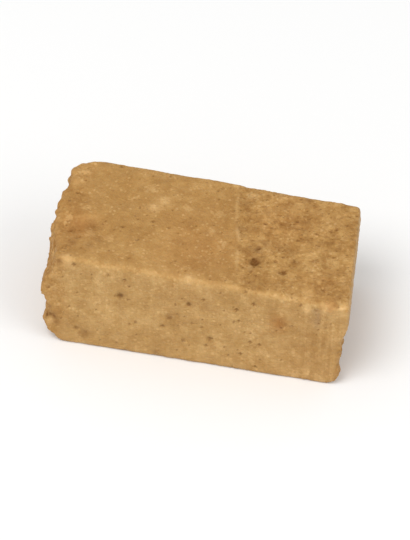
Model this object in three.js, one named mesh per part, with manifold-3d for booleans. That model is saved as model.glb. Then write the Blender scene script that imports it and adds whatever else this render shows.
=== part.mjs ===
// A hand-cut piece of soft almond nougat lying flat, in millimetres, +Z up.
// +X runs along the front face, which looks towards -Y, and the origin is the middle of the
// underside. Top and underside are the slab's smooth skin, front and back are knife cuts, the
// right side was cut and then broke away near the bottom, and the left side is torn.
import * as THREE from "three";
import { ImprovedNoise } from "three/addons/math/ImprovedNoise.js";
import { mergeVertices } from "three/addons/utils/BufferGeometryUtils.js";
import Module from "manifold-3d";

const wasm = await Module();
wasm.setup();
const perlin = new ImprovedNoise();
const { lerp, smoothstep, seededRandom } = THREE.MathUtils;

// Driving dimensions. Until the piece is centred at the end, x is measured from the left end
// of the straight part of the ridge between top and front, y from the front and z from below.
const RIDGE_LENGTH = 38.55;
const DEPTH = 20.9;
const HEIGHT_LEFT = 14.8;
const HEIGHT_RIGHT = 14.1;
const EDGE_RADIUS = 0.55;
const SIZE = new THREE.Vector3(RIDGE_LENGTH, DEPTH, HEIGHT_LEFT);

// The upright edges in plan. The back left one has crumbled to a broad flattened curve.
const CORNERS = [
  { right: 0, back: 0, radius: 0.5, power: 2 },
  { right: 1, back: 0, radius: 0.5, power: 2 },
  { right: 1, back: 1, radius: 0.6, power: 2 },
  { right: 0, back: 1, radius: 3.5, power: 1.75 },
];

// The sides in plan: where they start at the front and how far they stray from square.
const LEFT_AT_FRONT = -1.1;
const LEFT_LEAN = -1.75;
const LEFT_LEAN_DEPTH = 8;
const RIGHT_LEAN = -2.4;

// The sides in height, as [z, how far the side moves in x].
const TORN_PROFILE = [
  [0, 0.8],
  [1.2, -0.45],
  [2.5, -1.4],
  [4.2, -1.3],
  [5.6, -0.55],
  [8.6, -2.35],
  [12, -0.5],
  [14.8, -0.1],
];
const BREAK_PROFILE = [
  [0, -2.3],
  [1.1, -1],
  [2.4, -0.75],
  [5, -1.15],
  [8, -0.65],
  [11, 0.05],
  [14.8, 0],
];
const BULGE_SHARE_BEHIND = 0.35;
const BULGE_FADE = 7;
const SIDE_FADE = 3;

// Relief, as heights and wavelengths.
const CRAG_HEIGHT = 0.8;
const CRAG_WAVE = 3.6;
const FLAKE_HEIGHT = 0.9;
const FLAKE_WAVE = 2.3;
const BREAK_TOP = 9.5;
const BREAK_SHARE = 0.6;
const SWELL_HEIGHT = 0.16;
const SWELL_WAVE = 7;
const GRAIN_HEIGHT = 0.12;
const GRAIN_WAVE = 2.4;
const FACE_FADE = 6;

// The skin steps down along a slanting line, smeared on its left and coarser on its right.
const STEP_HEIGHT = 0.2;
const STEP_WIDTH = 1.2;
const STEP_AT_FRONT = 23.9;
const STEP_LEAN = -0.2;

// Shallow hollows torn from the top near its left edge, as [x, y, radius, depth].
const HOLLOWS = [
  [-0.6, 6.6, 1.7, 0.7],
  [2.4, 7.9, 1.3, 0.4],
  [4.3, 5.4, 1.6, 0.35],
  [5.2, 13.7, 1.4, 0.25],
];

// The larger pits, as [x, y or z, radius], and the chips along the ridge, as [x, radius].
const TOP_PITS = [
  [25.1, 6.1, 0.8],
  [29.1, 5, 0.55],
  [25, 9.1, 0.5],
  [10.2, 12.4, 0.5],
  [32.6, 8.4, 0.45],
];
const FRONT_PITS = [
  [8.8, 9.6, 0.5],
  [17.4, 10.2, 0.45],
  [15.1, 7.2, 0.5],
  [20.4, 4.7, 0.45],
  [3.8, 2.8, 0.65],
];
const RIDGE_CHIPS = [[36.7, 0.9], [34.3, 0.6], [13.2, 0.5]];
const CHIP_SHAPE = [1, 0.6, 0.5];
const CHIP_RAISE = 0.2;
const PIT_DEPTH = 0.75;
const PIT_RAISE = 0.3;
const PIT_LUMPS = 0.2;

// Pieces that stand proud: grains on the front and its ridge as [x, z, radius], a curled lip low
// on the left, and one crumb.
const FRONT_GRAINS = [
  [0.8, 14.6, 0.5],
  [17.2, 14.6, 0.45],
  [33.3, 13, 0.4],
  [35.9, 13.6, 0.4],
];
const LIP = { y: 1.2, z: 3.1, radius: 0.9 };
const EDGE_CRUMB = { y: 9.3, z: 14.1, radius: 0.65 };

// Scattered pits as [face, how many, radii], and scattered crumbs with how high they reach.
const SEED = 11;
const SCATTERED_PITS = [
  ["top", 5, 0.35, 0.5],
  ["back", 5, 0.4, 0.6],
  ["left", 5, 0.5, 0.9],
  ["right", 3, 0.4, 0.6],
];
const SCATTERED_CRUMBS = [
  ["left", 11, 0.93],
  ["right", 5, 0.5],
];
const CRUMB_RADII = [0.5, 1.2];
const CRUMB_SUNK = 0.55;
const CRUMB_LUMPS = 0.15;

// Mesh steps along each axis. Two of them cross each rounded edge.
const STEPS = new THREE.Vector3(38, 21, 15);
const EDGE_STEPS = 2;

const CARAMEL = 0xb98f58;

// The faces, with the way they look and where on them the shares a and b fall.
const FACES = {
  top: { out: [0, 0, 1], at: (a, b) => [a, b, 1] },
  front: { out: [0, -1, 0], at: (a, b) => [a, 0, b] },
  back: { out: [0, 1, 0], at: (a, b) => [a, 1, b] },
  left: { out: [-1, 0, 0], at: (a, b) => [0, a, b] },
  right: { out: [1, 0, 0], at: (a, b) => [1, a, b] },
};

function profileAt(points, z) {
  const next = Math.max(1, points.findIndex(([end]) => z <= end));
  const [[z0, a], [z1, b]] = [points[next - 1], points[next]];
  return lerp(a, b, smoothstep(z, z0, z1));
}

function noise(x, y, z, wave, salt = 0) {
  return perlin.noise(x / wave + salt, y / wave - salt, z / wave + 2 * salt);
}

// Crags: broad lumps, broken up by flakes that meet in sharp crests.
function crags(x, y, z, salt) {
  const broad = noise(x, y, z, CRAG_WAVE, salt) * CRAG_HEIGHT;
  const flakes = (0.2 - Math.abs(noise(x, y, z, FLAKE_WAVE, salt + 5))) * FLAKE_HEIGHT;
  return broad + flakes;
}

// Rounds the edges round the top and the underside, by drawing the outline in as z nears them.
function roundLevelEdges(p) {
  const level = Math.min(p.z, SIZE.z - p.z);
  const margin = Math.min(p.x, SIZE.x - p.x, p.y, SIZE.y - p.y);
  const a = EDGE_RADIUS - margin;
  const b = EDGE_RADIUS - level;
  if (a <= 0 || b <= 0) return p;
  const share = Math.max(a, b) / Math.hypot(a, b);
  const middle = SIZE.clone().divideScalar(2);
  const drawn = EDGE_RADIUS - a * share - margin;
  p.x = middle.x + (p.x - middle.x) * (1 - drawn / (middle.x - margin));
  p.y = middle.y + (p.y - middle.y) * (1 - drawn / (middle.y - margin));
  p.z += Math.sign(middle.z - p.z) * (EDGE_RADIUS - b * share - level);
  return p;
}

// Bends one square upright edge onto a curve whose power makes it full (2) or flattened (less).
function roundUprightEdge(p, { right, back, radius, power }) {
  const dx = radius - Math.abs(right * SIZE.x - p.x);
  const dy = radius - Math.abs(back * SIZE.y - p.y);
  if (dx <= 0 || dy <= 0) return p;
  const share = Math.max(dx, dy) / (dx ** power + dy ** power) ** (1 / power);
  p.x += (right ? 1 : -1) * dx * (share - 1);
  p.y += (back ? 1 : -1) * dy * (share - 1);
  return p;
}

// The profile is the front edge's. Behind it the bulges sink and the crags take over.
function tornSide(y, z) {
  const lean = LEFT_LEAN * smoothstep(y, 0, LEFT_LEAN_DEPTH);
  const behind = smoothstep(y, 0, BULGE_FADE);
  const profile = profileAt(TORN_PROFILE, z);
  const bulge = profile < 0 ? profile * lerp(1, BULGE_SHARE_BEHIND, behind) : profile;
  return LEFT_AT_FRONT + lean + bulge - behind * crags(0, y, z, 1);
}

// Smooth where the knife went, rough below.
function brokenSide(y, z) {
  const lean = (RIGHT_LEAN * y) / DEPTH;
  const rough = BREAK_SHARE * (1 - smoothstep(z, BREAK_TOP - 2, BREAK_TOP));
  return lean + profileAt(BREAK_PROFILE, z) + rough * crags(RIDGE_LENGTH, y, z, 3);
}

// A faint swell with a finer grain on it, as on all the smooth faces.
function skin(x, y, z, salt = 0) {
  return SWELL_HEIGHT * noise(x, y, z, SWELL_WAVE, salt) + GRAIN_HEIGHT * noise(x, y, z, GRAIN_WAVE, salt);
}

function topRelief(x, y) {
  const stepAt = STEP_AT_FRONT + STEP_LEAN * y;
  const step = -STEP_HEIGHT * smoothstep(x, stepAt - STEP_WIDTH / 2, stepAt + STEP_WIDTH / 2);
  const hollows = HOLLOWS.map(([hx, hy, radius, depth]) => {
    const away = Math.hypot(x - hx, y - hy) / radius;
    return -depth * Math.exp(-away * away);
  });
  return skin(x, y, 0) + step + hollows.reduce((a, b) => a + b);
}

// Takes a point of the straight block, with s, t and u from 0 to 1, to the real surface.
function surfacePoint(s, t, u) {
  const p = roundLevelEdges(new THREE.Vector3(s, t, u).multiply(SIZE));
  CORNERS.forEach((corner) => roundUprightEdge(p, corner));
  const { x, y, z } = p;
  const right = x / SIZE.x;
  p.x += (1 - right) ** SIDE_FADE * tornSide(y, z) + right ** SIDE_FADE * brokenSide(y, z);
  p.y += (1 - y / SIZE.y) ** FACE_FADE * skin(x, 0, z, 4) + (y / SIZE.y) ** FACE_FADE * skin(x, 0, z, 2);
  p.z *= lerp(1, HEIGHT_RIGHT / HEIGHT_LEFT, right);
  p.z += (z / SIZE.z) ** FACE_FADE * topRelief(p.x, p.y);
  return p;
}

// Where a share of the way along an axis falls once the rounded edges have their own steps.
function spreadSteps(share, steps, length) {
  const step = Math.round(share * steps);
  const fromEnd = Math.min(step, steps - step);
  const edge = EDGE_RADIUS / length;
  if (fromEnd > EDGE_STEPS) return lerp(edge, 1 - edge, (step - EDGE_STEPS) / (steps - 2 * EDGE_STEPS));
  const along = (edge * fromEnd) / EDGE_STEPS;
  return step < steps / 2 ? along : 1 - along;
}

function weld(geometry) {
  geometry.deleteAttribute("normal");
  geometry.deleteAttribute("uv");
  return mergeVertices(geometry, 1e-4);
}

function blockGeometry() {
  const geometry = weld(new THREE.BoxGeometry(1, 1, 1, ...STEPS.toArray()));
  const position = geometry.getAttribute("position");
  for (let i = 0; i < position.count; i++) {
    const at = new THREE.Vector3().fromBufferAttribute(position, i).addScalar(0.5);
    const s = spreadSteps(at.x, STEPS.x, SIZE.x);
    const t = spreadSteps(at.y, STEPS.y, SIZE.y);
    const u = spreadSteps(at.z, STEPS.z, SIZE.z);
    position.setXYZ(i, ...surfacePoint(s, t, u).toArray());
  }
  return geometry;
}

function toSolid(geometry) {
  const vertProperties = geometry.getAttribute("position").array;
  const triVerts = new Uint32Array(geometry.index.array);
  return new wasm.Manifold(new wasm.Mesh({ numProp: 3, vertProperties, triVerts }));
}

function toGeometry(solid) {
  const { vertProperties, triVerts } = solid.getMesh();
  const geometry = new THREE.BufferGeometry();
  geometry.setAttribute("position", new THREE.BufferAttribute(vertProperties, 3));
  geometry.setIndex(new THREE.BufferAttribute(triVerts, 1));
  return geometry;
}

// An egg-shaped lump with the three given radii, uneven by the share lumps.
function lump(at, radii, lumps) {
  const geometry = weld(new THREE.IcosahedronGeometry(1, 1));
  const position = geometry.getAttribute("position");
  for (let i = 0; i < position.count; i++) {
    const p = new THREE.Vector3().fromBufferAttribute(position, i);
    p.multiplyScalar(1 + lumps * 2 * noise(p.x, p.y, p.z, 0.9, at.x + at.y));
    position.setXYZ(i, ...p.multiply(radii).add(at).toArray());
  }
  return toSolid(geometry);
}

const draw = (low, high) => lerp(low, high, seededRandom());

// A pit is a shallow bowl, cut by the lower part of a flattened lump held above the face.
function pit(face, a, b, radius) {
  const out = new THREE.Vector3(...FACES[face].out);
  const flattening = out.clone().multiply(out).multiplyScalar(PIT_DEPTH - 1);
  const radii = new THREE.Vector3(1, 1, 1).add(flattening).multiplyScalar(radius);
  const at = surfacePoint(...FACES[face].at(a, b)).addScaledVector(out, PIT_RAISE * radius);
  return lump(at, radii, PIT_LUMPS);
}

function placedPits() {
  const onTop = TOP_PITS.map(([x, y, r]) => pit("top", x / RIDGE_LENGTH, y / DEPTH, r));
  const onFront = FRONT_PITS.map(([x, z, r]) => pit("front", x / RIDGE_LENGTH, z / HEIGHT_LEFT, r));
  return [...onTop, ...onFront];
}

function ridgeChips() {
  return RIDGE_CHIPS.map(([x, radius]) => {
    const raise = new THREE.Vector3(0, -1, 1).multiplyScalar(CHIP_RAISE * radius);
    const radii = new THREE.Vector3(...CHIP_SHAPE).multiplyScalar(radius);
    return lump(surfacePoint(x / RIDGE_LENGTH, 0, 1).add(raise), radii, PIT_LUMPS);
  });
}

// One of count places between low and high, evenly spread but for a random share of the gap.
function spread(index, count, low, high) {
  return lerp(low, high, (index + draw(0.2, 0.8)) / count);
}

// Over the right of the top, where the skin is coarser, and over the whole of the other faces.
function scatteredPits() {
  return SCATTERED_PITS.flatMap(([face, count, low, high]) => {
    const from = face === "top" ? 0.6 : 0.1;
    const one = (_, i) => pit(face, spread(i, count, from, 0.93), draw(0.15, 0.85), draw(low, high));
    return Array.from({ length: count }, one);
  });
}

function crumb(face, a, b, radius) {
  const out = new THREE.Vector3(...FACES[face].out);
  const radii = new THREE.Vector3(radius, radius * draw(0.8, 1.2), radius * draw(0.7, 1));
  const at = surfacePoint(...FACES[face].at(a, b)).addScaledVector(out, -CRUMB_SUNK * radius);
  return lump(at, radii, CRUMB_LUMPS);
}

function crumbs() {
  const grains = FRONT_GRAINS.map(([x, z, radius]) => {
    return crumb("front", x / RIDGE_LENGTH, z / HEIGHT_LEFT, radius);
  });
  const standing = [LIP, EDGE_CRUMB].map(({ y, z, radius }) => {
    return crumb("left", y / DEPTH, z / HEIGHT_LEFT, radius);
  });
  const scattered = SCATTERED_CRUMBS.flatMap(([face, count, highest]) => {
    const one = (_, i) => crumb(face, spread(i, count, 0.03, 0.9), draw(0.12, highest), draw(...CRUMB_RADII));
    return Array.from({ length: count }, one);
  });
  return [...grains, ...standing, ...scattered];
}

function nougatGeometry() {
  seededRandom(SEED);
  const whole = toSolid(blockGeometry()).add(wasm.Manifold.union(crumbs()));
  const hollows = [...placedPits(), ...ridgeChips(), ...scatteredPits()];
  const geometry = toGeometry(whole.subtract(wasm.Manifold.union(hollows)));
  geometry.computeBoundingBox();
  const middle = geometry.boundingBox.getCenter(new THREE.Vector3());
  return geometry.translate(-middle.x, -middle.y, -geometry.boundingBox.min.z);
}

const material = new THREE.MeshStandardMaterial({ color: CARAMEL, roughness: 0.75, metalness: 0 });
const nougat = new THREE.Mesh(nougatGeometry(), material);
nougat.name = "nougat_block";

const piece = new THREE.Group();
piece.add(nougat);

export default piece;
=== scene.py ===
import math
import random

import bmesh
import bpy
import numpy as np
from mathutils import Euler, Matrix, Quaternion, Vector, kdtree, noise


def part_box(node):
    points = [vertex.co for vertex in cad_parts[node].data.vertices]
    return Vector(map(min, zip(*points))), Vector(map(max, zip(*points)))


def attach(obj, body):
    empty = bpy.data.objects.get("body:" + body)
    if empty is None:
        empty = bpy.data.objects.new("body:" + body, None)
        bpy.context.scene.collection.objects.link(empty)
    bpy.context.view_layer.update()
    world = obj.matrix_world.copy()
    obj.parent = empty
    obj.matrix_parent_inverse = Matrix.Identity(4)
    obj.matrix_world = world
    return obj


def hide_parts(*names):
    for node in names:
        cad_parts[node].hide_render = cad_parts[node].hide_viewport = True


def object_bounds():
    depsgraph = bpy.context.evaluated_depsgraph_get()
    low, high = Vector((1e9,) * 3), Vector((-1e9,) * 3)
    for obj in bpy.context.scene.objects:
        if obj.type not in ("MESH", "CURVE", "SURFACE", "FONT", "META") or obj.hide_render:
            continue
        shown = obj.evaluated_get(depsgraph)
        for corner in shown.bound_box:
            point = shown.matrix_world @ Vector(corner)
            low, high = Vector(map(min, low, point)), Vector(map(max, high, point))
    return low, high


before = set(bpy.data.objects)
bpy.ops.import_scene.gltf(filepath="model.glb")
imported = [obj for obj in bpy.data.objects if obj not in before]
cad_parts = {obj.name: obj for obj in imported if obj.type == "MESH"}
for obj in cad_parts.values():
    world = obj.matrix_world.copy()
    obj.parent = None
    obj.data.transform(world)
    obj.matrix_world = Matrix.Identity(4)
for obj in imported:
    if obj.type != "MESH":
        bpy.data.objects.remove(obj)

# A block of soft almond nougat that lies flat, cut on four sides and torn at its left end.
# Blender holds lengths in metres. Sizes and places on the block are in millimetres.

MM = 0.001
NODE = "nougat_block"
SEED = 23

# Camera, as fitted to the photograph, in degrees and, apart from the lens and sensor, in metres
AZIMUTH = 9.8
ELEVATION = 41.2
ROLL = 2.66
DISTANCE = 1.317
LENS = 658.0
SENSOR = 36.0
CLIP_START = 0.05
CLIP_END = 10.0

# Light: the world's colour and strength, then each lamp's azimuth, elevation, distance and size in
# metres, and watts
WHITE = (1.0, 1.0, 1.0, 1.0)
AMBIENT = 0.6
KEY = (-28.0, 57.0, 0.9, 0.6, 4.5)
FILL = (65.0, 40.0, 0.9, 0.7, 1.9)

# The floor, from its middle to each side in metres
FLOOR_REACH = 2.0
FLOOR_ROUGHNESS = 0.9
FLOOR_SPECULAR = 0.1

# Places on the block are measured along x, y and z from the left end of its front top ridge, at
# floor level. These put that point inside the node's box.
RIDGE_FROM_HIGH_X = 38.99
RIDGE_FROM_LOW_Y = 0.18

# Remeshing, and smoothing in rounds that draw in and then push out a little further
VOXEL = 0.205
SMOOTH_ROUNDS = 5
NORMAL_ROUNDS = 3
DRAW_IN = 0.5
PUSH_OUT = 0.52

# How much of a normal points to the top, or to another face, where a point begins to count as on it
# and where it is all on it
TOP_TURN = (0.35, 0.8)
FACE_TURN = (0.4, 0.8)

# The torn left end, its frayed rim on the next faces, and the broken lower part of the right side:
# how much of a normal points that way, and between which values of -x, or of -z on the right, each
# comes in. These limits wander by RAGGED.
TORN_TURN = (0.35, 0.75)
TORN_FROM = (-3.4, -1.4)
FRAY_FROM = (-1.6, 0.4)
FRAY_SHARE = 0.6
BROKEN_TURN = (0.3, 0.7)
BROKEN_FROM = (-8.5, -5.5)
BROKEN_SHARE = 0.8
RAGGED = 0.9

# Sharp edges: how far they stand out from the smoothed form, and how worn they are, where paler paste
# and a painted highlight show. The front top ridge has most of both, more so at its left.
CREST_ROUNDS = 14
CREST_FROM = (0.02, 0.12)
RIDGE_HEIGHT = (11.0, 13.0)
RIDGE_DEPTH = (-2.2, -1.0)
RIDGE_FADE = 0.2
RIDGE_FADE_FROM = (8.0, 28.0)
OTHER_EDGES = 0.25
CREST_UNEVEN = 0.35
WEAR_AND_HIGHLIGHT_ROUNDS = 80
WEAR_AND_HIGHLIGHT_SHARP = 0.22
WEAR_AND_HIGHLIGHT_SOFT = 0.98
NICK_DEPTH = 0.1
NICK_BIAS = 0.1

# The line on the top between the smeared part and the coarser one, as x and y at the back and front,
# and how much calmer and how much coarser the two parts are
SEAM_BACK = (21.2, 13.9)
SEAM_FRONT = (23.7, 1.6)
SEAM_WIDTH = 0.22
SEAM_FADE = 0.4
SEAM_WANDER = (0.35, 0.1)
SEAM_BEGINS = (1.5, 4.0)
SEAM_GAP_FROM = (-0.8, 0.2)
SEAM_HEIGHT = 0.05
SMEARED = 0.5
COARSER = 0.3

# Grooves that the wire or blade left on the front, fine drag marks on the front and back, and the
# smear on the top. The lines have a wavelength, an offset and a stretch along x, y and z.
GROOVE_START = 32.5
GROOVE_FADE = 0.8
GROOVE_DEPTH = 0.042
GROOVE_LINES = (0.62, 1.9, (1.0, 1.0, 14.0))
DRAG_DEPTH = 0.018
DRAG_LINES = (0.45, 4.4, (1.0, 1.0, 10.0))
SMEAR_LINES = (0.5, 6.1, (1.0, 9.0, 1.0))

# The scar down the front at the right, as x, lowest and highest z, half width and depth, and over
# what height it fades below and above
SCAR = (34.6, 8.4, 13.2, 0.62, 0.16)
SCAR_FADE = (2.5, 0.6)

# Other noise, as (wavelength, offset)
RAGGED_NOISE = (3.2, 5.1)
CREST_NOISE = ((3.1, 6.6), (0.7, 3.8))
NICK_NOISE = (0.8, 9.7)
SEAM_NOISE = ((3.0, 2.7), (0.8, 5.3))
SEAM_GAP_NOISE = (2.6, 14.2)
GROOVE_NOISE = (2.5, 8.0)

# Fine grain of the paste, as (wavelength, height)
GRAIN = ((2.1, 0.035), (0.95, 0.03), (0.5, 0.04))
# Ground almond, as (cell size, height) on cut faces and on torn ones
CUT_BITS = ((1.25, 0.035), (0.66, 0.055))
TORN_BITS = ((2.3, 0.26), (1.15, 0.22), (0.62, 0.14))
BIT_WIDTH = 0.8
BIT_BASE = 0.35
# Where the noise of each next size begins, so that sizes don't share a pattern
GRAIN_JUMP = 3.7
CUT_JUMP = 11.3
TORN_JUMP = 7.9
TORN_START = 1.3
CELL_JUMP = 7.3
# Dark marks are a little crumbled too, and sharp edges less so
STAIN_CRUMBLED = 0.55
BLUNTED = 0.6
BLUNT_FROM = (0.1, 0.3)

# Pores: a rim has its distance and width in radii and its height as a share of the depth. The last
# values say how likely pores are on each kind of surface.
PORES = 500
PORE_RADIUS = (0.14, 0.36)
PORE_DEPTH = (0.08, 0.2)
PORE_GAP = 1.15
PORE_SMALLNESS = 2.2
PORE_REACH = 1.6
PORE_RIM = (1.25, 0.22, 0.22)
PORE_SLOPE = 1.5
SAME_SIDE = 0.3
PORES_ANYWHERE = 0.24
PORES_COARSE = 0.76
PORES_FRONT = -0.1
PORES_TORN = 0.3
PORES_LOST_UNDER = 0.9

# Painted shade in hollows: they show darker from the first depth to the second
HOLLOW_SHADE_ROUNDS = 7
HOLLOW_SHADE_FROM = (0.012, 0.085)

# How much less speckle shows where the paste is smeared or knifed, and how much more on edges
SPECKLE_SMEARED = 0.5
SPECKLE_KNIFED = 0.4
SPECKLE_EDGES = 0.6
# How strongly streaks of tone show on knifed places and on grooved ones
STREAKS_KNIFED = 0.35
STREAKS_GROOVED = 0.5

# The underside stays on the floor, and relief near it is lower
UNDER_EDGE = 0.3
UNDER_CALM = 0.6

# Crumbs that cling to the torn places: each has a radius, and shares of it for how deep it sits and
# for the length and height of its lumps
CRUMBS = 150
CRUMB_SIZE = (0.12, 0.24)
CRUMB_SUNK = 0.45
CRUMB_STRETCH = (0.7, 1.3)
CRUMB_LUMPS = (0.8, 0.35)
CRUMB_OFFSETS = (0, 50)
CRUMB_LOWEST = 0.8
CRUMBS_ANYWHERE = 0.004
CRUMBS_ON_TOP = 0.3
UPWARD = 0.5

# Marks that the photo shows, as (x, y, z, radius, strength), and for the dark ones a depth too. The
# last dark mark isn't in the photo: it takes down a knob on the right side.
DARK_MARKS = (
    (25.0, 6.2, 14.0, 0.75, 1.0, 0.22),
    (25.1, 8.7, 14.1, 0.6, 0.8, 0.1),
    (25.7, 9.9, 14.1, 0.5, 0.4, 0.05),
    (29.1, 5.1, 14.1, 0.5, 0.75, 0.15),
    (30.2, 7.6, 14.1, 0.7, 0.35, 0.05),
    (0.4, 6.9, 13.8, 1.0, 0.5, 0.1),
    (2.6, 7.9, 14.1, 0.9, 0.5, 0.05),
    (4.2, 5.5, 14.3, 0.8, 0.3, 0.0),
    (0.9, 3.6, 14.2, 0.6, 0.7, 0.05),
    (3.1, 3.6, 14.3, 0.6, 0.6, 0.03),
    (-0.3, 0.3, 14.1, 0.5, 0.7, 0.05),
    (8.3, 0.2, 9.7, 0.38, 1.0, 0.08),
    (17.5, 0.2, 10.1, 0.38, 0.8, 0.08),
    (15.1, 0.2, 7.3, 0.7, 0.4, 0.0),
    (20.5, 0.1, 4.6, 0.4, 0.6, 0.1),
    (20.1, 0.1, 10.3, 0.8, 0.3, 0.0),
    (3.4, 0.1, 2.2, 0.7, 0.45, 0.0),
    (13.3, 0.0, 1.0, 0.5, 0.5, 0.0),
    (34.0, 0.0, 6.0, 9.0, 0.07, 0.0),
    (17.5, 7.0, 14.3, 5.5, 0.05, 0.0),
    (-1.75, 0.3, 4.25, 0.5, 1.0, 0.22),
    (-1.2, 0.1, 4.4, 0.5, 1.0, 0.26),
    (-0.7, 0.0, 4.3, 0.5, 1.0, 0.2),
    (-0.3, 0.0, 3.8, 0.45, 0.7, 0.12),
    (37.9, 6.6, 2.4, 0.7, 0.1, 0.32),
)
PALE_MARKS = (
    (0.8, 0.3, 14.4, 0.62, 1.0),
    (17.2, 0.4, 14.5, 0.5, 0.9),
    (10.9, 14.7, 14.5, 0.7, 1.0),
    (9.8, 13.0, 14.5, 0.7, 0.8),
    (18.4, 10.4, 14.4, 0.5, 0.5),
    (33.3, 0.1, 12.5, 0.5, 1.0),
    (35.9, 0.1, 13.1, 0.5, 1.0),
    (-1.1, 0.0, 3.45, 0.45, 0.7),
)
# Warm tones of the paste, and in the last mark a painted shadow with warm reflected light
WARM_MARKS_AND_SHADOW = (
    (29.7, 0.0, 9.4, 1.3, 0.9),
    (36.4, 0.2, 13.7, 0.9, 0.9),
    (1.2, 7.2, 14.2, 2.2, 0.8),
    (17.5, 7.0, 14.3, 5.0, 0.5),
    (34.5, 3.5, 14.1, 2.6, 0.3),
    (35.0, 0.0, 4.0, 8.0, 0.2),
    # Not a tone of the paste: a painted shadow with warm reflected light at the back of the top
    (27.0, 15.0, 14.4, 4.5, 0.4),
)
# How wide a dark mark's hollow is beside its colour, and how high a pale mark stands
PIT_WIDTH = 0.8
PALE_HEIGHT = 0.1
# How much less a mark fades with y and z than with x, so that it looks round at the camera's slant
MARK_STRETCH = (1.0, 1.25, 1.3)

# Colours, linear
FRONT = (0.47, 0.271, 0.09)
TOP = (0.437, 0.234, 0.067)
# Worn edges: paler crumbled paste, made lighter still as a painted highlight
RIDGE_WEAR_AND_HIGHLIGHT = (0.74, 0.455, 0.175)
TORN = (0.42, 0.212, 0.06)
ALMOND = (0.72, 0.45, 0.185)
SCARRED = (0.43, 0.27, 0.125)
SKIN = (0.19, 0.08, 0.018)
# PIT colours the dark marks and blotches, and the painted shade in hollows
PIT = (0.16, 0.057, 0.005)
# Warm tones of the paste, also used for a painted shadow
WARM_AND_SHADOW = (0.4, 0.18, 0.042)
FLOOR = (0.89, 0.89, 0.885)
# How much more green and blue change than red where the paste is lighter or darker
GREEN_POWER = 1.35
BLUE_POWER = 2.1

# How strongly each place takes its colour
TORN_TINT = 0.8
# How strongly worn edges take their paler colour and painted highlight
WEAR_AND_HIGHLIGHT_TINT = 0.8
BLOTCH_TINT = 0.26
SEAM_TINT = 0.42
# How strongly hollows take their painted shade
HOLLOW_SHADE_TINT = 0.6
SCAR_TINT = (0.75, 0.35)
STAIN_TINT = (0.55, 1.0)

# Speckle on rough places, as (cell size, change of tone), and how wavy its cells are
SPECKLE = ((1.1, 0.05), (0.62, 0.08), (0.34, 0.09))
SPECKLE_WOBBLE = 0.6
# How many waves of a wavy cell's outline lie along its size
CELL_WAVES = 2.2
# Flecks in some of the cells: edge is a fleck's rim and middle as distances in its cell, and rare the
# random values between which cells begin to hold one
ALMOND_FLECKS = {"size": 1.9, "wobble": 1.1, "edge": (0.5, 0.3), "rare": (0.8, 0.9), "tint": 0.3}
MEAL_FLECKS = {"size": 0.5, "wobble": 0.7, "edge": (0.55, 0.2), "rare": (0.72, 0.95), "tint": 0.4}
SKIN_FLECKS = {"size": 1.3, "wobble": 0.9, "edge": (0.24, 0.1), "rare": (0.84, 0.9), "tint": 0.55}
ALMOND_JAGGED = 0.22

# Noise in the material, as wavelength, detail, roughness and stretch along x, y and z
JAGGED_NOISE = (0.45, 3.0, 0.6)
STREAK_NOISE = (0.5, 3.0, 0.6, (1.0, 1.0, 16.0))
BLOTCH_NOISE = (1.7, 3.0, 0.6)
PATCH_NOISE = (1.9, 2.0, 0.6, (1.0, 1.6, 1.0))
MOTTLE_NOISE = (1.3, 2.0, 0.6, (1.0, 1.5, 1.0))
STAIN_NOISE = (0.4, 3.0, 0.6)
ROUGHNESS_NOISE = (1.1, 3.0)
BUMP_NOISE = (0.26, 4.0, 0.7)
# From which value of the noise each of them begins, and where it is full
USUAL_REACH = (0.3, 0.7)
JAGGED_REACH = (0.25, 0.75)
BLOTCH_REACH = (0.5, 0.72)
PATCH_REACH = (0.3, 0.66)
STAIN_REACH = (0.35, 0.65)
DRIFT_REACH = (0.33, 0.67)
# How far they change the tone, and the broad drifts of tone as (wavelength, change)
STREAK_TONE = 0.09
PATCH_TONE = 0.12
MOTTLE_TONE = 0.05
DRIFTS = ((8.0, 0.045), (2.6, 0.06))

# The surface's gloss and fine bump
ROUGHNESS = (0.46, 0.66)
TORN_ROUGHNESS = 0.25
SPECULAR = 0.28
SUBSURFACE = 0.1
SUBSURFACE_RADIUS = (1.0, 0.5, 0.2)
SUBSURFACE_SCALE = 0.4
BUMP_CELLS = (0.36, 0.5)
BUMP_CELL_SHARE = 0.5
BUMP_STRENGTH = 0.9
BUMP_HEIGHT = 0.12

cad_box = [list(corner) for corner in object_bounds()]


def add_object(name, data):
    piece = bpy.data.objects.new(name, data)
    bpy.context.collection.objects.link(piece)
    return piece


def block_origin():
    """The left end of the front top ridge, at floor level, in millimetres."""
    low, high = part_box(NODE)
    return np.array((high[0] / MM - RIDGE_FROM_HIGH_X, low[1] / MM + RIDGE_FROM_LOW_Y, 0.0))


def fine_mesh():
    """The CAD solid as an even mesh of small quads, in millimetres."""
    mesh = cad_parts[NODE].data.copy()
    mesh.name = "nougat"
    mesh.materials.clear()
    mesh.transform(Matrix.Scale(1 / MM, 4))
    piece = add_object("nougat", mesh)
    remesh = piece.modifiers.new("voxels", "REMESH")
    remesh.mode = "VOXEL"
    remesh.voxel_size = VOXEL
    graph = bpy.context.evaluated_depsgraph_get()
    fine = bpy.data.meshes.new_from_object(piece.evaluated_get(graph))
    piece.modifiers.clear()
    piece.data = fine
    bpy.data.meshes.remove(mesh)
    fine.name = "nougat"
    return piece


def read_points(mesh):
    points = np.empty(len(mesh.vertices) * 3)
    mesh.vertices.foreach_get("co", points)
    return points.reshape(-1, 3)


def write_points(mesh, points):
    mesh.vertices.foreach_set("co", points.ravel())
    mesh.update()


def read_normals(mesh):
    normals = np.empty(len(mesh.vertices) * 3)
    mesh.vertex_normals.foreach_get("vector", normals)
    return normals.reshape(-1, 3)


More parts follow.
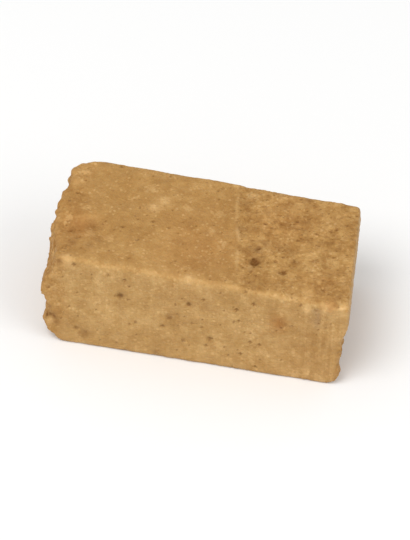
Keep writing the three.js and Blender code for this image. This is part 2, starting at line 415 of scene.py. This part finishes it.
def read_edges(mesh):
    edges = np.empty(len(mesh.edges) * 2, dtype=np.int64)
    mesh.edges.foreach_get("vertices", edges)
    return edges.reshape(-1, 2)


def neighbour_mean(values, edges):
    """Each point's mean over its neighbours."""
    size = len(values)
    degree = np.bincount(edges.ravel(), minlength=size)
    columns = []
    for column in values.T:
        total = np.bincount(edges[:, 0], column[edges[:, 1]], size)
        total += np.bincount(edges[:, 1], column[edges[:, 0]], size)
        columns.append(total / degree)
    return np.stack(columns, axis=1)


def smoothed(values, edges, rounds):
    for _ in range(rounds):
        values = values + DRAW_IN * (neighbour_mean(values, edges) - values)
    return values


def kept_smooth(points, edges, rounds):
    """Takes the facets off without shrinking the form."""
    for _ in range(rounds):
        points = points + DRAW_IN * (neighbour_mean(points, edges) - points)
        points = points - PUSH_OUT * (neighbour_mean(points, edges) - points)
    return points


def smooth_normals(mesh, edges):
    normals = smoothed(read_normals(mesh), edges, NORMAL_ROUNDS)
    return normals / np.linalg.norm(normals, axis=1, keepdims=True)


def wave(points, length, offset=0.0, stretch=(1.0, 1.0, 1.0)):
    """Soft noise between about -1 and 1 with bumps of that length."""
    scaled = points / (np.array(stretch) * length) + offset
    return np.array([noise.noise(p) for p in scaled])


def bits(points, size, offset):
    """Rounded lumps of that size, each of its own height, and the cracks between them."""
    heights = []
    for p in points / size + offset:
        distances, centres = noise.voronoi(p)
        own = 0.5 + 0.5 * noise.cell(centres[0] * CELL_JUMP)
        heights.append(own * (1 - min(1.0, distances[0] / BIT_WIDTH) ** 2) - BIT_BASE)
    return np.array(heights)


def step(values, start, end):
    """0 before start, 1 after end and smooth between."""
    t = np.clip((values - start) / (end - start), 0, 1)
    return t * t * (3 - 2 * t)


def marks(places, spots):
    """How far each point lies in one of the spots, from 0 to 1."""
    total = np.zeros(len(places))
    for x, y, z, radius, strength in spots:
        away = (places - (x, y, z)) / MARK_STRETCH
        total = np.maximum(total, strength * np.exp(-(away**2).sum(axis=1) / radius**2))
    return total


def pit_relief(places):
    """How deep the dark marks go."""
    pits = [(x, y, z, PIT_WIDTH * radius, depth) for x, y, z, radius, _, depth in DARK_MARKS]
    return marks(places, pits)


def stain(places):
    """How dark the dark marks are."""
    return marks(places, [mark[:5] for mark in DARK_MARKS])


class Surface:
    """Where each point of the block lies, and how much of each kind of surface it has there."""

    def __init__(self, points, normals, edges):
        self.places = points - block_origin()
        self.normals = normals
        self.find_faces()
        self.find_edges(points, edges)
        self.find_seam()
        self.find_front_marks()

    def find_faces(self):
        x, _, z = self.places.T
        across, along, up = self.normals.T
        ragged = RAGGED * wave(self.places, *RAGGED_NOISE)
        left = step(-across, *TORN_TURN) * step(ragged - x, *TORN_FROM)
        fray = step(ragged - x, *FRAY_FROM)
        right = step(across, *BROKEN_TURN) * step(ragged - z, *BROKEN_FROM)
        torn = np.maximum(np.maximum(left, FRAY_SHARE * fray), BROKEN_SHARE * right)
        self.torn = np.clip(torn, 0, 1)
        self.top = step(up, *TOP_TURN)
        self.under = step(-up, *FACE_TURN)
        self.front = step(-along, *FACE_TURN)
        self.knifed = step(np.abs(along), *FACE_TURN) * (1 - self.torn)

    def find_edges(self, points, edges):
        x, y, z = self.places.T
        self.sharp = ((points - smoothed(points, edges, CREST_ROUNDS)) * self.normals).sum(axis=1)
        ridge = step(z, *RIDGE_HEIGHT) * step(-y, *RIDGE_DEPTH)
        ridge *= 1 - RIDGE_FADE * step(x, *RIDGE_FADE_FROM)
        crest = step(self.sharp, *CREST_FROM) * (OTHER_EDGES + (1 - OTHER_EDGES) * ridge)
        broad, fine = (CREST_UNEVEN * wave(self.places, *each) for each in CREST_NOISE)
        self.crest = crest * (1 + broad + fine)
        # The worn band spreads out from the crest; it is coloured as paler paste with a painted
        # highlight
        spread = smoothed(self.crest[:, None], edges, WEAR_AND_HIGHLIGHT_ROUNDS)[:, 0]
        self.wear_and_highlight = WEAR_AND_HIGHLIGHT_SHARP * self.crest + WEAR_AND_HIGHLIGHT_SOFT * spread

    def find_seam(self):
        x, y, _ = self.places.T
        slant = (SEAM_FRONT[0] - SEAM_BACK[0]) / (SEAM_BACK[1] - SEAM_FRONT[1])
        beyond = x - SEAM_BACK[0] - slant * (SEAM_BACK[1] - y)
        broad, fine = (share * wave(self.places, *each) for share, each in zip(SEAM_WANDER, SEAM_NOISE))
        beyond = beyond - (broad + fine)
        past = step(beyond, -SEAM_FADE, SEAM_FADE)
        self.coarse = self.top * past
        self.smear = self.top * (1 - past) * (1 - self.torn)
        seam = self.top * np.exp(-((beyond / SEAM_WIDTH) ** 2)) * step(y, *SEAM_BEGINS)
        self.seam = seam * step(wave(self.places, *SEAM_GAP_NOISE), *SEAM_GAP_FROM)

    def find_front_marks(self):
        x, _, z = self.places.T
        begins = x + wave(self.places, *GROOVE_NOISE)
        self.grooved = self.front * step(begins, GROOVE_START - GROOVE_FADE, GROOVE_START + GROOVE_FADE)
        scar_x, low, high, width, _ = SCAR
        fade_in, fade_out = SCAR_FADE
        across = np.exp(-(((x - scar_x) / width) ** 2))
        below_high = 1 - step(z, high - fade_out, high)
        self.scar = self.front * across * step(z, low, low + fade_in) * below_high


def pore_profile(t):
    """A dimple with a faint rim, where t is the distance in radii."""
    rim_at, rim_width, rim_height = PORE_RIM
    return rim_height * math.exp(-((t - rim_at) / rim_width) ** 2) - max(0.0, 1 - t * t) ** PORE_SLOPE


def pore_relief(points, surface):
    """Small open pores, closest together where the surface is coarse."""
    wanted = PORES_ANYWHERE + PORES_COARSE * surface.coarse + PORES_FRONT * surface.front
    density = np.clip(wanted + PORES_TORN * surface.torn, 0, 1) * (1 - PORES_LOST_UNDER * surface.under)
    outward = surface.normals
    draw = random.Random(SEED)
    tree = kdtree.KDTree(len(points))
    for i, p in enumerate(points):
        tree.insert(p, i)
    tree.balance()
    relief = np.zeros(len(points))
    taken = np.zeros(len(points), dtype=bool)
    made = 0
    while made < PORES:
        seed = draw.randrange(len(points))
        if taken[seed] or draw.random() > density[seed]:
            continue
        made += 1
        taken[[i for _, i, _ in tree.find_range(points[seed], PORE_GAP * draw.random())]] = True
        share = draw.random() ** PORE_SMALLNESS
        radius = PORE_RADIUS[0] + share * (PORE_RADIUS[1] - PORE_RADIUS[0])
        depth = PORE_DEPTH[0] + share * (PORE_DEPTH[1] - PORE_DEPTH[0])
        for _, i, distance in tree.find_range(points[seed], radius * PORE_REACH):
            if outward[seed] @ outward[i] > SAME_SIDE:
                relief[i] += depth * pore_profile(distance / radius)
    return relief


def paste_relief(surface):
    """Grain and ground almond, calm where the top is smeared and crumbled where it is torn."""
    places = surface.places
    calm = 1 - SMEARED * surface.smear + COARSER * surface.coarse
    relief = np.zeros(len(places))
    for i, (length, height) in enumerate(GRAIN):
        relief += calm * height * wave(places, length, GRAIN_JUMP * i)
    for i, (size, height) in enumerate(CUT_BITS):
        relief += (1 - surface.torn) * calm * height * bits(places, size, CUT_JUMP * i)
    blunted = 1 - BLUNTED * step(surface.sharp, *BLUNT_FROM)
    crumbled = np.maximum(surface.torn, STAIN_CRUMBLED * stain(places)) * blunted
    for i, (size, height) in enumerate(TORN_BITS):
        relief += crumbled * height * bits(places, size, TORN_JUMP * i + TORN_START)
    return relief


def blade_relief(surface):
    """What the wire or blade left: grooves, drag marks, the seam and the scar, and nicked edges."""
    places = surface.places
    relief = surface.grooved * GROOVE_DEPTH * wave(places, *GROOVE_LINES)
    relief += surface.knifed * DRAG_DEPTH * wave(places, *DRAG_LINES)
    relief += surface.smear * DRAG_DEPTH * wave(places, *SMEAR_LINES)
    relief -= surface.crest * NICK_DEPTH * np.clip(wave(places, *NICK_NOISE) + NICK_BIAS, 0, 1)
    relief += SEAM_HEIGHT * surface.seam
    relief -= SCAR[-1] * surface.scar
    return relief


def kept_on_floor(points, normals, under, relief):
    """Moves the points out by the relief, without one that goes below the floor."""
    resting = under * np.clip(1 - points[:, 2] / UNDER_EDGE, 0, 1)
    relief = np.where(under > 0.5, np.minimum(relief, 0), relief) * (1 - UNDER_CALM * resting)
    moved = points + normals * relief[:, None]
    moved[:, 2] = np.maximum(moved[:, 2], 0)
    return moved


def keep_values(mesh, values):
    """Keeps each of the named values per point, for the material to read."""
    for name, value in values.items():
        attribute = mesh.attributes.new(name, "FLOAT", "POINT")
        attribute.data.foreach_set("value", value.astype(np.float32))


def shape_block(piece):
    """Adds the fine relief and keeps what the material needs as attributes."""
    mesh = piece.data
    edges = read_edges(mesh)
    points = kept_smooth(read_points(mesh), edges, SMOOTH_ROUNDS)
    write_points(mesh, points)
    normals = smooth_normals(mesh, edges)
    surface = Surface(points, normals, edges)
    places = surface.places

    relief = paste_relief(surface) + blade_relief(surface) + pore_relief(points, surface)
    relief += PALE_HEIGHT * marks(places, PALE_MARKS) - pit_relief(places)
    moved = kept_on_floor(points, normals, surface.under, relief)
    write_points(mesh, moved)

    # How far each point sinks below its smoothed neighbours, for painted shade in hollows
    hollow_shade = ((smoothed(moved, edges, HOLLOW_SHADE_ROUNDS) - moved) * normals).sum(axis=1)
    rough = 1 - SPECKLE_SMEARED * surface.smear - SPECKLE_KNIFED * surface.knifed
    rough = rough + SPECKLE_EDGES * surface.crest
    values = {
        "top": surface.top,
        "torn": surface.torn,
        "coarse": surface.coarse,
        "rough": np.clip(rough, 0, 1),
        "seam": surface.seam,
        "drag": STREAKS_KNIFED * surface.knifed + STREAKS_GROOVED * surface.grooved,
        "scar": surface.scar,
        # paler wear and a painted highlight along the edges
        "wear_and_highlight": surface.wear_and_highlight,
        # painted shade in hollows
        "hollow_shade": step(hollow_shade, *HOLLOW_SHADE_FROM),
        "dark": stain(places),
        "pale": marks(places, PALE_MARKS),
        # warm tones and a painted shadow
        "warm_and_shadow": marks(places, WARM_MARKS_AND_SHADOW),
    }
    keep_values(mesh, values)
    mesh.transform(Matrix.Scale(MM, 4))
    mesh.shade_smooth()


class Nodes:
    """Short calls for building a node material."""

    def __init__(self, name):
        self.material = bpy.data.materials.new(name)
        self.material.use_nodes = True
        self.tree = self.material.node_tree
        self.shader = self.tree.nodes["Principled BSDF"]

    def new(self, kind, **settings):
        node = self.tree.nodes.new("ShaderNode" + kind)
        for name, value in settings.items():
            setattr(node, name, value)
        return node

    def put(self, value, socket):
        """Links a socket, or sets a number or a colour."""
        if isinstance(value, bpy.types.NodeSocket):
            self.tree.links.new(value, socket)
        elif isinstance(value, tuple) and len(value) < len(socket.default_value):
            socket.default_value = (*value, 1.0)
        else:
            socket.default_value = value

    def attribute(self, name):
        return self.new("Attribute", attribute_name=name).outputs["Fac"]

    def share(self, name, factor):
        """A named value of the mesh, times a number or another socket."""
        return self.math("MULTIPLY", self.attribute(name), factor)

    def place(self, stretch=(1.0, 1.0, 1.0)):
        """Object coordinates in millimetres, made longer along an axis by its stretch."""
        coordinates = self.new("TexCoord")
        mapping = self.new("Mapping")
        mapping.inputs["Scale"].default_value = [1 / (MM * s) for s in stretch]
        self.put(coordinates.outputs["Object"], mapping.inputs["Vector"])
        return mapping.outputs["Vector"]

    def noise(self, length, detail=2.0, roughness=0.5, stretch=(1.0, 1.0, 1.0)):
        node = self.new("TexNoise")
        self.put(self.place(stretch), node.inputs["Vector"])
        node.inputs["Scale"].default_value = 1 / length
        node.inputs["Detail"].default_value = detail
        node.inputs["Roughness"].default_value = roughness
        return node.outputs["Fac"]

    def cells(self, size, wobble):
        """Distance from the middle of a wavy cell, and the cell's own random value."""
        place = self.place()
        waves = self.new("TexNoise")
        waves.inputs["Scale"].default_value = CELL_WAVES / size
        self.put(place, waves.inputs["Vector"])
        shifted = self.new("VectorMath", operation="MULTIPLY_ADD")
        self.put(waves.outputs["Color"], shifted.inputs[0])
        shifted.inputs[1].default_value = [wobble * size] * 3
        self.put(place, shifted.inputs[2])
        node = self.new("TexVoronoi")
        self.put(shifted.outputs["Vector"], node.inputs["Vector"])
        node.inputs["Scale"].default_value = 1 / size
        split = self.new("SeparateColor")
        self.put(node.outputs["Color"], split.inputs["Color"])
        return node.outputs["Distance"], split.outputs["Red"]

    def math(self, operation, *values):
        node = self.new("Math", operation=operation)
        for value, socket in zip(values, node.inputs):
            self.put(value, socket)
        return node.outputs["Value"]

    def range(self, value, start, end, low=0.0, high=1.0):
        node = self.new("MapRange", interpolation_type="SMOOTHSTEP")
        for number, socket in zip((value, start, end, low, high), node.inputs):
            self.put(number, socket)
        return node.outputs["Result"]

    def mix(self, share, first, second):
        node = self.new("Mix", data_type="RGBA")
        for value, socket in ((share, 0), (first, 6), (second, 7)):
            self.put(value, node.inputs[socket])
        return node.outputs[2]

    def tone(self, colour, value, spread):
        """Darker and warmer where the value is 0, lighter and paler where it is 1."""
        low, high = ((1 + s, 1 + GREEN_POWER * s, 1 + BLUE_POWER * s) for s in (-spread, spread))
        node = self.new("VectorMath", operation="MULTIPLY")
        self.put(colour, node.inputs[0])
        self.put(self.mix(value, low, high), node.inputs[1])
        return node.outputs["Vector"]

    def flecks(self, colour, fleck, size, wobble, edge, rare, tint, jagged=0.0):
        """Mixes the fleck's colour into the middle of some cells."""
        distance, own = self.cells(size, wobble)
        if jagged:
            shift = self.range(self.noise(*JAGGED_NOISE), *JAGGED_REACH, -jagged, jagged)
            distance = self.math("ADD", distance, shift)
        inside = self.math("MULTIPLY", self.range(distance, *edge), self.range(own, *rare))
        return self.mix(self.math("MULTIPLY", inside, tint), colour, fleck)


def paste_colour(n):
    """Front, top and torn tones, the worn ridge with a painted highlight, speckle, ground almond and
    bits of skin.
    """
    colour = n.mix(n.attribute("top"), FRONT, TOP)
    colour = n.mix(n.share("torn", TORN_TINT), colour, TORN)
    # Warm tones, and a painted shadow at the back of the top
    colour = n.mix(n.attribute("warm_and_shadow"), colour, WARM_AND_SHADOW)
    # Paler worn edges with a painted highlight
    colour = n.mix(n.share("wear_and_highlight", WEAR_AND_HIGHLIGHT_TINT), colour, RIDGE_WEAR_AND_HIGHLIGHT)
    for size, spread in SPECKLE:
        _, own = n.cells(size, SPECKLE_WOBBLE)
        colour = n.mix(n.attribute("rough"), colour, n.tone(colour, own, spread))
    colour = n.flecks(colour, ALMOND, **ALMOND_FLECKS, jagged=ALMOND_JAGGED)
    colour = n.flecks(colour, ALMOND, **MEAL_FLECKS)
    return n.flecks(colour, SKIN, **SKIN_FLECKS)


def marked_colour(n, colour):
    """Adds drag marks, the coarse part's blotches, the scar, the seam, painted shade in hollows, and
    marks.
    """
    streaks = n.range(n.noise(*STREAK_NOISE), *USUAL_REACH)
    colour = n.mix(n.attribute("drag"), colour, n.tone(colour, streaks, STREAK_TONE))
    blotch = n.share("coarse", n.range(n.noise(*BLOTCH_NOISE), *BLOTCH_REACH))
    colour = n.mix(n.math("MULTIPLY", blotch, BLOTCH_TINT), colour, PIT)
    patch = n.range(n.noise(*PATCH_NOISE), *PATCH_REACH)
    colour = n.mix(n.attribute("coarse"), colour, n.tone(colour, patch, PATCH_TONE))
    mottle = n.range(n.noise(*MOTTLE_NOISE), *USUAL_REACH)
    colour = n.mix(n.attribute("top"), colour, n.tone(colour, mottle, MOTTLE_TONE))
    colour = n.mix(n.share("scar", n.range(streaks, 0.0, 1.0, *SCAR_TINT)), colour, SCARRED)
    colour = n.mix(n.share("seam", SEAM_TINT), colour, ALMOND)
    # Painted shade in hollows
    colour = n.mix(n.share("hollow_shade", HOLLOW_SHADE_TINT), colour, PIT)
    uneven = n.range(n.noise(*STAIN_NOISE), *STAIN_REACH, *STAIN_TINT)
    colour = n.mix(n.share("dark", uneven), colour, PIT)
    colour = n.mix(n.share("pale", uneven), colour, ALMOND)
    for length, spread in DRIFTS:
        colour = n.tone(colour, n.range(n.noise(length, 1.0), *DRIFT_REACH), spread)
    return colour


def add_gloss(n):
    rough = n.range(n.noise(*ROUGHNESS_NOISE), *USUAL_REACH, *ROUGHNESS)
    rough = n.math("ADD", rough, n.share("torn", TORN_ROUGHNESS))
    n.put(rough, n.shader.inputs["Roughness"])
    n.shader.inputs["Specular IOR Level"].default_value = SPECULAR
    n.shader.inputs["Subsurface Weight"].default_value = SUBSURFACE
    n.shader.inputs["Subsurface Radius"].default_value = SUBSURFACE_RADIUS
    n.shader.inputs["Subsurface Scale"].default_value = SUBSURFACE_SCALE * MM


def add_bump(n):
    grain, _ = n.cells(*BUMP_CELLS)
    height = n.math("SUBTRACT", n.noise(*BUMP_NOISE), n.math("MULTIPLY", grain, BUMP_CELL_SHARE))
    bump = n.new("Bump")
    bump.inputs["Strength"].default_value = BUMP_STRENGTH
    bump.inputs["Distance"].default_value = BUMP_HEIGHT * MM
    n.put(height, bump.inputs["Height"])
    n.put(bump.outputs["Normal"], n.shader.inputs["Normal"])


def nougat_material():
    """Caramel-brown almond paste with paler almond, brown skin flecks, painted shade in pores and
    hollows, and worn edges with a painted highlight.
    """
    n = Nodes("nougat")
    n.put(marked_colour(n, paste_colour(n)), n.shader.inputs["Base Color"])
    add_gloss(n)
    add_bump(n)
    return n.material


def crumb_chances(mesh, points, normals):
    """How likely a crumb clings to each point: mostly where it is torn, and less on top."""
    chance = np.empty(len(points), dtype=np.float32)
    mesh.attributes["torn"].data.foreach_get("value", chance)
    chance = np.where(points[:, 2] < CRUMB_LOWEST, 0, chance**2 + CRUMBS_ANYWHERE)
    return chance * np.where(normals[:, 2] > UPWARD, CRUMBS_ON_TOP, 1)


def unit_ball():
    shape = bmesh.new()
    bmesh.ops.create_icosphere(shape, subdivisions=3, radius=1.0)
    ball = np.array([v.co for v in shape.verts])
    faces = np.array([[v.index for v in f.verts] for f in shape.faces])
    shape.free()
    return ball, faces


def lump(draw, ball):
    """An uneven lump made from the ball, and its size."""
    size = CRUMB_SIZE[0] + draw.random() ** 2 * (CRUMB_SIZE[1] - CRUMB_SIZE[0])
    stretch = Matrix.Diagonal([draw.uniform(*CRUMB_STRETCH) for _ in range(3)])
    turn = Euler([draw.uniform(0, math.tau) for _ in range(3)]).to_matrix()
    length, height = CRUMB_LUMPS
    bumps = 1 + height * wave(ball, length, draw.uniform(*CRUMB_OFFSETS))
    return (ball * bumps[:, None]) @ np.array(turn @ stretch).T, size


def add_crumbs(piece, material):
    """Small lumps that cling to the torn end, to the broken corner and along the edges."""
    points, normals = read_points(piece.data) / MM, read_normals(piece.data)
    chance = crumb_chances(piece.data, points, normals)
    ball, ball_faces = unit_ball()
    draw = random.Random(SEED + 1)
    all_points, all_faces = [], []
    while len(all_points) < CRUMBS:
        seed = draw.randrange(len(points))
        if draw.random() > chance[seed]:
            continue
        shape, size = lump(draw, ball)
        all_faces.append(ball_faces + len(ball) * len(all_points))
        all_points.append(points[seed] + size * (shape - CRUMB_SUNK * normals[seed]))
    mesh = bpy.data.meshes.new("nougat_crumbs")
    corners = (np.concatenate(all_points) * MM).tolist()
    mesh.from_pydata(corners, [], np.concatenate(all_faces).tolist())
    mesh.shade_smooth()
    mesh.materials.append(material)
    crumbs = add_object("nougat_crumbs", mesh)
    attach(crumbs, "root")


def studio_floor():
    """A plain near-white plane under the block."""
    mesh = bpy.data.meshes.new("floor")
    corners = [(FLOOR_REACH * x, FLOOR_REACH * y, 0) for x, y in ((-1, -1), (1, -1), (1, 1), (-1, 1))]
    mesh.from_pydata(corners, [], [(0, 1, 2, 3)])
    piece = add_object("floor", mesh)
    n = Nodes("floor")
    n.shader.inputs["Base Color"].default_value = (*FLOOR, 1.0)
    n.shader.inputs["Roughness"].default_value = FLOOR_ROUGHNESS
    n.shader.inputs["Specular IOR Level"].default_value = FLOOR_SPECULAR
    mesh.materials.append(n.material)


def studio_world():
    """Even white light from all round, and a white background."""
    world = bpy.data.worlds.new("studio")
    bpy.context.scene.world = world
    world.use_nodes = True
    tree = world.node_tree
    light = tree.nodes["Background"]
    light.inputs["Color"].default_value = WHITE
    light.inputs["Strength"].default_value = AMBIENT
    seen = tree.nodes.new("ShaderNodeBackground")
    seen.inputs["Color"].default_value = WHITE
    path = tree.nodes.new("ShaderNodeLightPath")
    mix = tree.nodes.new("ShaderNodeMixShader")
    tree.links.new(path.outputs["Is Camera Ray"], mix.inputs["Fac"])
    tree.links.new(light.outputs["Background"], mix.inputs[1])
    tree.links.new(seen.outputs["Background"], mix.inputs[2])
    tree.links.new(mix.outputs["Shader"], tree.nodes["World Output"].inputs["Surface"])


def direction(azimuth, elevation):
    """The unit vector towards an azimuth and elevation, with azimuth 0 towards -y and 90 towards +x."""
    a, e = math.radians(azimuth), math.radians(elevation)
    return Vector((math.sin(a) * math.cos(e), -math.cos(a) * math.cos(e), math.sin(e)))


def soft_light(name, azimuth, elevation, distance, size, watts):
    data = bpy.data.lights.new(name, "AREA")
    data.shape = "DISK"
    data.size = size
    data.energy = watts
    light = add_object(name, data)
    back = direction(azimuth, elevation)
    light.location = back * distance
    light.rotation_mode = "QUATERNION"
    light.rotation_quaternion = (-back).to_track_quat("-Z", "Y")
    light.visible_camera = False


def studio_camera(target):
    data = bpy.data.cameras.new("camera")
    data.lens = LENS
    data.sensor_width = SENSOR
    data.clip_start = CLIP_START
    data.clip_end = CLIP_END
    camera = add_object("camera", data)
    back = direction(AZIMUTH, ELEVATION)
    roll = Quaternion((0, 0, 1), math.radians(ROLL))
    camera.location = target + back * DISTANCE
    camera.rotation_mode = "QUATERNION"
    camera.rotation_quaternion = (-back).to_track_quat("-Z", "Y") @ roll
    bpy.context.scene.camera = camera


nougat = fine_mesh()
shape_block(nougat)
paste = nougat_material()
nougat.data.materials.append(paste)
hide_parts(NODE)
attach(nougat, "root")
add_crumbs(nougat, paste)

low, high = (Vector(corner) for corner in cad_box)
studio_floor()
studio_world()
soft_light("key", *KEY)
soft_light("fill", *FILL)
studio_camera((low + high) / 2)
bpy.context.scene.view_settings.view_transform = "Standard"
bpy.context.scene.view_settings.look = "None"
